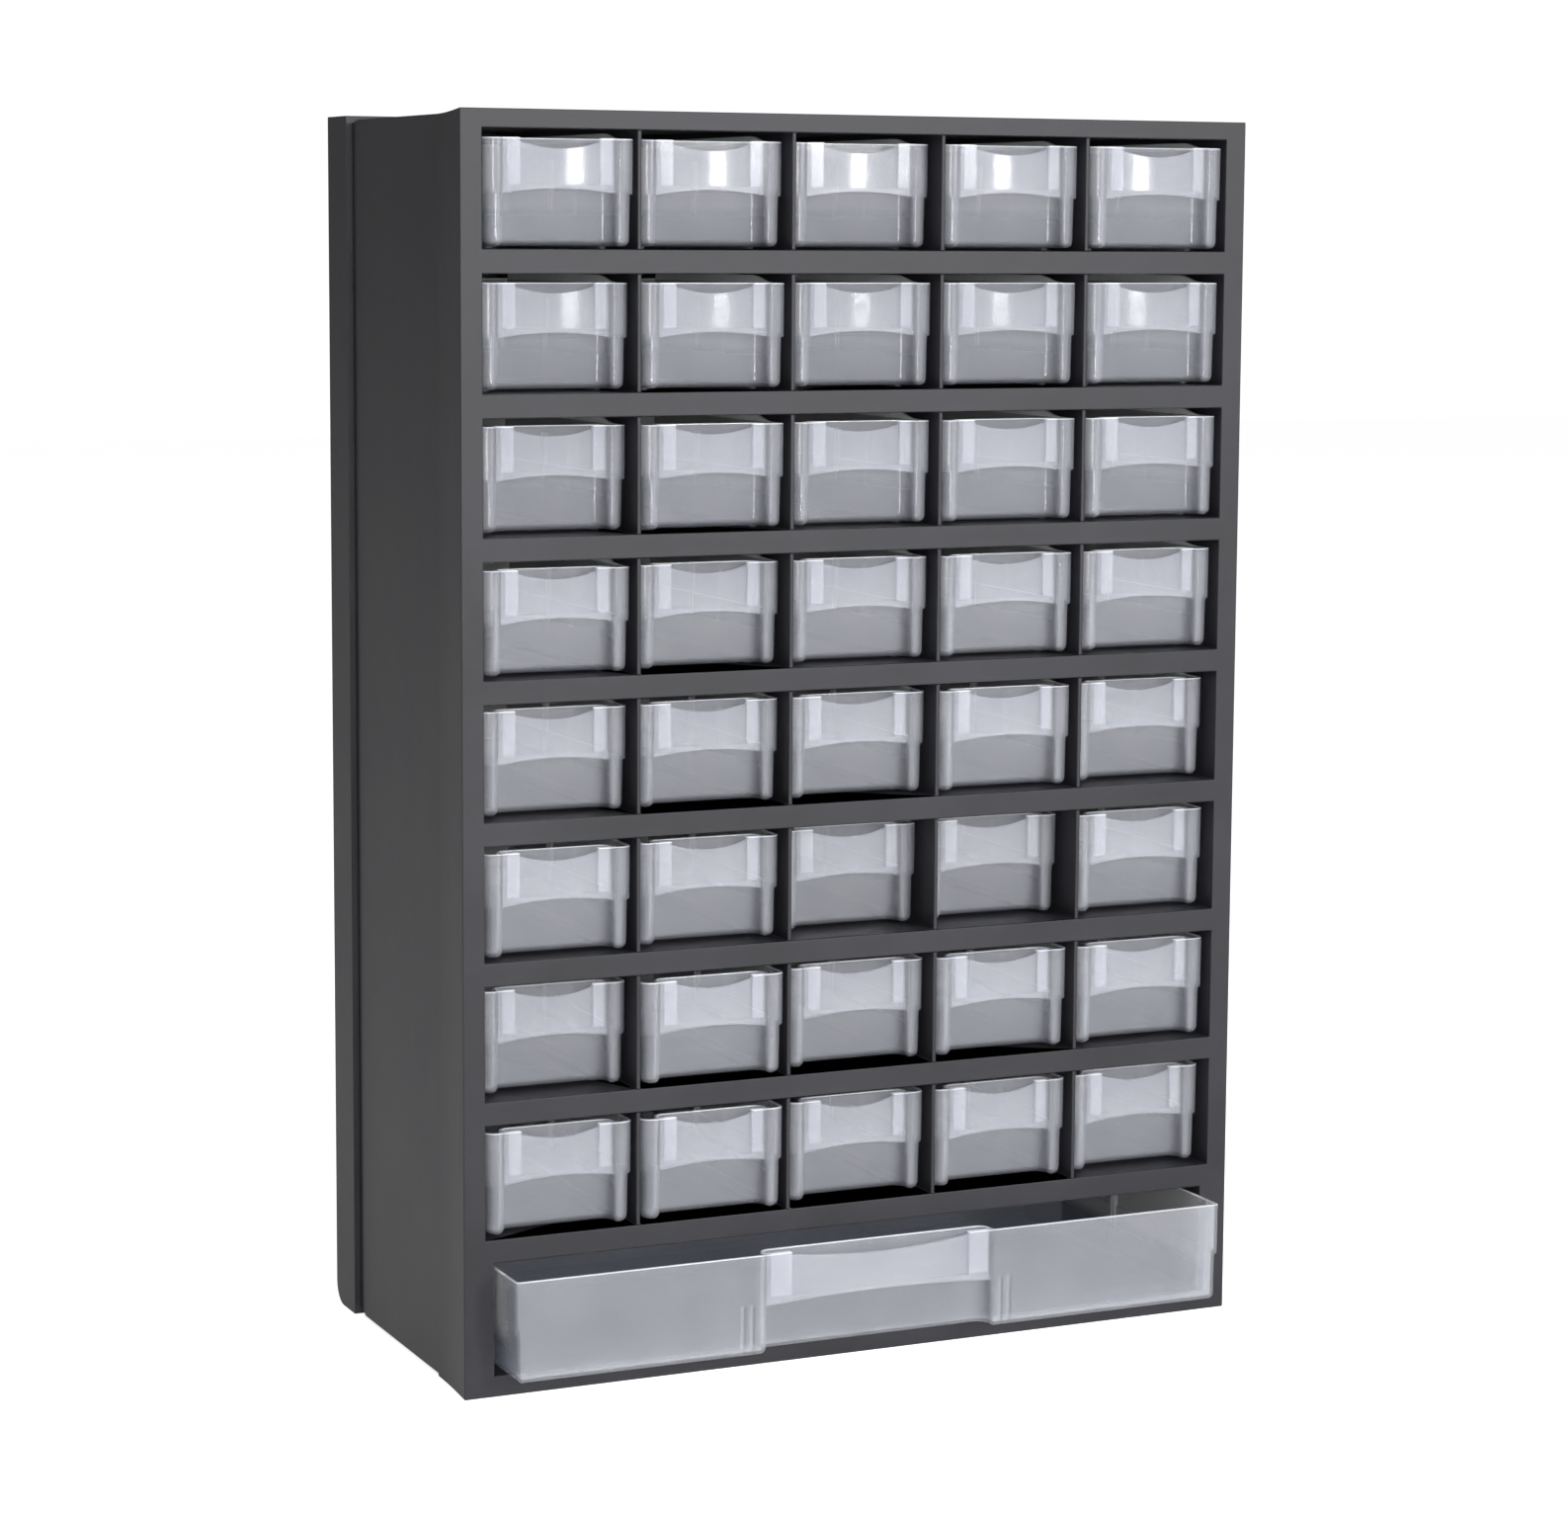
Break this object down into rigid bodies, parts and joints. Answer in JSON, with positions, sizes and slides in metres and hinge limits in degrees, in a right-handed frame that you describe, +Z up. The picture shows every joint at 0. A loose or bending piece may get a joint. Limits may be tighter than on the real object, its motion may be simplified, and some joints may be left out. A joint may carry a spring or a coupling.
{
  "type": "parts organizer",
  "caption": "Small-parts cabinet: black plastic housing with rows of sliding translucent drawers above one full-width drawer.",
  "frame": {"origin": "On the floor plane, under the middle of the whole cabinet with its large drawer as it rests, partly pulled out.", "axes": "+X to the right seen from the front, +Y from the front to the rear, +Z up. The drawers pull out along -Y."},
  "size_m": [0.302, 0.157, 0.44],
  "materials": {
    "housing_plastic": "fine-grained black moulded plastic",
    "drawer_plastic": "frosted translucent polypropylene with smooth lips"
  },
  "bodies": {
    "cabinet": {"housing": "housing_plastic", "back_cover": "housing_plastic", "shelf_1": "housing_plastic", "shelf_2": "housing_plastic", "shelf_3": "housing_plastic", "shelf_4": "housing_plastic", "shelf_5": "housing_plastic", "shelf_6": "housing_plastic", "shelf_7": "housing_plastic", "shelf_8": "housing_plastic", "row_1_dividers": "housing_plastic", "row_2_dividers": "housing_plastic", "row_3_dividers": "housing_plastic", "row_4_dividers": "housing_plastic", "row_5_dividers": "housing_plastic", "row_6_dividers": "housing_plastic", "row_7_dividers": "housing_plastic", "row_8_dividers": "housing_plastic"},
    "drawer_r1_c1": {"drawer_r1_c1": "drawer_plastic"},
    "drawer_r1_c2": {"drawer_r1_c2": "drawer_plastic"},
    "drawer_r1_c3": {"drawer_r1_c3": "drawer_plastic"},
    "drawer_r1_c4": {"drawer_r1_c4": "drawer_plastic"},
    "drawer_r1_c5": {"drawer_r1_c5": "drawer_plastic"},
    "drawer_r2_c1": {"drawer_r2_c1": "drawer_plastic"},
    "drawer_r2_c2": {"drawer_r2_c2": "drawer_plastic"},
    "drawer_r2_c3": {"drawer_r2_c3": "drawer_plastic"},
    "drawer_r2_c4": {"drawer_r2_c4": "drawer_plastic"},
    "drawer_r2_c5": {"drawer_r2_c5": "drawer_plastic"},
    "drawer_r3_c1": {"drawer_r3_c1": "drawer_plastic"},
    "drawer_r3_c2": {"drawer_r3_c2": "drawer_plastic"},
    "drawer_r3_c3": {"drawer_r3_c3": "drawer_plastic"},
    "drawer_r3_c4": {"drawer_r3_c4": "drawer_plastic"},
    "drawer_r3_c5": {"drawer_r3_c5": "drawer_plastic"},
    "drawer_r4_c1": {"drawer_r4_c1": "drawer_plastic"},
    "drawer_r4_c2": {"drawer_r4_c2": "drawer_plastic"},
    "drawer_r4_c3": {"drawer_r4_c3": "drawer_plastic"},
    "drawer_r4_c4": {"drawer_r4_c4": "drawer_plastic"},
    "drawer_r4_c5": {"drawer_r4_c5": "drawer_plastic"},
    "drawer_r5_c1": {"drawer_r5_c1": "drawer_plastic"},
    "drawer_r5_c2": {"drawer_r5_c2": "drawer_plastic"},
    "drawer_r5_c3": {"drawer_r5_c3": "drawer_plastic"},
    "drawer_r5_c4": {"drawer_r5_c4": "drawer_plastic"},
    "drawer_r5_c5": {"drawer_r5_c5": "drawer_plastic"},
    "drawer_r6_c1": {"drawer_r6_c1": "drawer_plastic"},
    "drawer_r6_c2": {"drawer_r6_c2": "drawer_plastic"},
    "drawer_r6_c3": {"drawer_r6_c3": "drawer_plastic"},
    "drawer_r6_c4": {"drawer_r6_c4": "drawer_plastic"},
    "drawer_r6_c5": {"drawer_r6_c5": "drawer_plastic"},
    "drawer_r7_c1": {"drawer_r7_c1": "drawer_plastic"},
    "drawer_r7_c2": {"drawer_r7_c2": "drawer_plastic"},
    "drawer_r7_c3": {"drawer_r7_c3": "drawer_plastic"},
    "drawer_r7_c4": {"drawer_r7_c4": "drawer_plastic"},
    "drawer_r7_c5": {"drawer_r7_c5": "drawer_plastic"},
    "drawer_r8_c1": {"drawer_r8_c1": "drawer_plastic"},
    "drawer_r8_c2": {"drawer_r8_c2": "drawer_plastic"},
    "drawer_r8_c3": {"drawer_r8_c3": "drawer_plastic"},
    "drawer_r8_c4": {"drawer_r8_c4": "drawer_plastic"},
    "drawer_r8_c5": {"drawer_r8_c5": "drawer_plastic"},
    "large_drawer": {"large_drawer": "drawer_plastic"}
  },
  "joints": [
    {"name": "drawer_r1_c1_slide", "type": "slide", "parent": "cabinet", "child": "drawer_r1_c1", "axis": [0, -1, 0], "range_m": [-0.015, 0.095]},
    {"name": "drawer_r1_c2_slide", "type": "slide", "parent": "cabinet", "child": "drawer_r1_c2", "axis": [0, -1, 0], "range_m": [-0.01, 0.1]},
    {"name": "drawer_r1_c3_slide", "type": "slide", "parent": "cabinet", "child": "drawer_r1_c3", "axis": [0, -1, 0], "range_m": [-0.008, 0.102]},
    {"name": "drawer_r1_c4_slide", "type": "slide", "parent": "cabinet", "child": "drawer_r1_c4", "axis": [0, -1, 0], "range_m": [-0.012, 0.098]},
    {"name": "drawer_r1_c5_slide", "type": "slide", "parent": "cabinet", "child": "drawer_r1_c5", "axis": [0, -1, 0], "range_m": [-0.015, 0.095]},
    {"name": "drawer_r2_c1_slide", "type": "slide", "parent": "cabinet", "child": "drawer_r2_c1", "axis": [0, -1, 0], "range_m": [-0.01, 0.1]},
    {"name": "drawer_r2_c2_slide", "type": "slide", "parent": "cabinet", "child": "drawer_r2_c2", "axis": [0, -1, 0], "range_m": [-0.013, 0.097]},
    {"name": "drawer_r2_c3_slide", "type": "slide", "parent": "cabinet", "child": "drawer_r2_c3", "axis": [0, -1, 0], "range_m": [-0.011, 0.099]},
    {"name": "drawer_r2_c4_slide", "type": "slide", "parent": "cabinet", "child": "drawer_r2_c4", "axis": [0, -1, 0], "range_m": [-0.012, 0.098]},
    {"name": "drawer_r2_c5_slide", "type": "slide", "parent": "cabinet", "child": "drawer_r2_c5", "axis": [0, -1, 0], "range_m": [-0.014, 0.096]},
    {"name": "drawer_r3_c1_slide", "type": "slide", "parent": "cabinet", "child": "drawer_r3_c1", "axis": [0, -1, 0], "range_m": [-0.008, 0.102]},
    {"name": "drawer_r3_c2_slide", "type": "slide", "parent": "cabinet", "child": "drawer_r3_c2", "axis": [0, -1, 0], "range_m": [-0.013, 0.097]},
    {"name": "drawer_r3_c3_slide", "type": "slide", "parent": "cabinet", "child": "drawer_r3_c3", "axis": [0, -1, 0], "range_m": [-0.011, 0.099]},
    {"name": "drawer_r3_c4_slide", "type": "slide", "parent": "cabinet", "child": "drawer_r3_c4", "axis": [0, -1, 0], "range_m": [-0.013, 0.097]},
    {"name": "drawer_r3_c5_slide", "type": "slide", "parent": "cabinet", "child": "drawer_r3_c5", "axis": [0, -1, 0], "range_m": [-0.014, 0.096]},
    {"name": "drawer_r4_c1_slide", "type": "slide", "parent": "cabinet", "child": "drawer_r4_c1", "axis": [0, -1, 0], "range_m": [-0.012, 0.098]},
    {"name": "drawer_r4_c2_slide", "type": "slide", "parent": "cabinet", "child": "drawer_r4_c2", "axis": [0, -1, 0], "range_m": [-0.009, 0.101]},
    {"name": "drawer_r4_c3_slide", "type": "slide", "parent": "cabinet", "child": "drawer_r4_c3", "axis": [0, -1, 0], "range_m": [-0.01, 0.1]},
    {"name": "drawer_r4_c4_slide", "type": "slide", "parent": "cabinet", "child": "drawer_r4_c4", "axis": [0, -1, 0], "range_m": [-0.012, 0.098]},
    {"name": "drawer_r4_c5_slide", "type": "slide", "parent": "cabinet", "child": "drawer_r4_c5", "axis": [0, -1, 0], "range_m": [-0.012, 0.098]},
    {"name": "drawer_r5_c1_slide", "type": "slide", "parent": "cabinet", "child": "drawer_r5_c1", "axis": [0, -1, 0], "range_m": [-0.009, 0.101]},
    {"name": "drawer_r5_c2_slide", "type": "slide", "parent": "cabinet", "child": "drawer_r5_c2", "axis": [0, -1, 0], "range_m": [-0.009, 0.101]},
    {"name": "drawer_r5_c3_slide", "type": "slide", "parent": "cabinet", "child": "drawer_r5_c3", "axis": [0, -1, 0], "range_m": [-0.009, 0.101]},
    {"name": "drawer_r5_c4_slide", "type": "slide", "parent": "cabinet", "child": "drawer_r5_c4", "axis": [0, -1, 0], "range_m": [-0.012, 0.098]},
    {"name": "drawer_r5_c5_slide", "type": "slide", "parent": "cabinet", "child": "drawer_r5_c5", "axis": [0, -1, 0], "range_m": [-0.008, 0.102]},
    {"name": "drawer_r6_c1_slide", "type": "slide", "parent": "cabinet", "child": "drawer_r6_c1", "axis": [0, -1, 0], "range_m": [-0.013, 0.097]},
    {"name": "drawer_r6_c2_slide", "type": "slide", "parent": "cabinet", "child": "drawer_r6_c2", "axis": [0, -1, 0], "range_m": [-0.01, 0.1]},
    {"name": "drawer_r6_c3_slide", "type": "slide", "parent": "cabinet", "child": "drawer_r6_c3", "axis": [0, -1, 0], "range_m": [-0.003, 0.107]},
    {"name": "drawer_r6_c4_slide", "type": "slide", "parent": "cabinet", "child": "drawer_r6_c4", "axis": [0, -1, 0], "range_m": [-0.003, 0.107]},
    {"name": "drawer_r6_c5_slide", "type": "slide", "parent": "cabinet", "child": "drawer_r6_c5", "axis": [0, -1, 0], "range_m": [-0.01, 0.1]},
    {"name": "drawer_r7_c1_slide", "type": "slide", "parent": "cabinet", "child": "drawer_r7_c1", "axis": [0, -1, 0], "range_m": [-0.008, 0.102]},
    {"name": "drawer_r7_c2_slide", "type": "slide", "parent": "cabinet", "child": "drawer_r7_c2", "axis": [0, -1, 0], "range_m": [-0.015, 0.095]},
    {"name": "drawer_r7_c3_slide", "type": "slide", "parent": "cabinet", "child": "drawer_r7_c3", "axis": [0, -1, 0], "range_m": [-0.01, 0.1]},
    {"name": "drawer_r7_c4_slide", "type": "slide", "parent": "cabinet", "child": "drawer_r7_c4", "axis": [0, -1, 0], "range_m": [-0.012, 0.098]},
    {"name": "drawer_r7_c5_slide", "type": "slide", "parent": "cabinet", "child": "drawer_r7_c5", "axis": [0, -1, 0], "range_m": [-0.012, 0.098]},
    {"name": "drawer_r8_c1_slide", "type": "slide", "parent": "cabinet", "child": "drawer_r8_c1", "axis": [0, -1, 0], "range_m": [-0.014, 0.096]},
    {"name": "drawer_r8_c2_slide", "type": "slide", "parent": "cabinet", "child": "drawer_r8_c2", "axis": [0, -1, 0], "range_m": [-0.015, 0.095]},
    {"name": "drawer_r8_c3_slide", "type": "slide", "parent": "cabinet", "child": "drawer_r8_c3", "axis": [0, -1, 0], "range_m": [-0.011, 0.099]},
    {"name": "drawer_r8_c4_slide", "type": "slide", "parent": "cabinet", "child": "drawer_r8_c4", "axis": [0, -1, 0], "range_m": [-0.012, 0.098]},
    {"name": "drawer_r8_c5_slide", "type": "slide", "parent": "cabinet", "child": "drawer_r8_c5", "axis": [0, -1, 0], "range_m": [-0.01, 0.1]},
    {"name": "large_drawer_slide", "type": "slide", "parent": "cabinet", "child": "large_drawer", "axis": [0, -1, 0], "range_m": [-0.032, 0.078]}
  ]
}
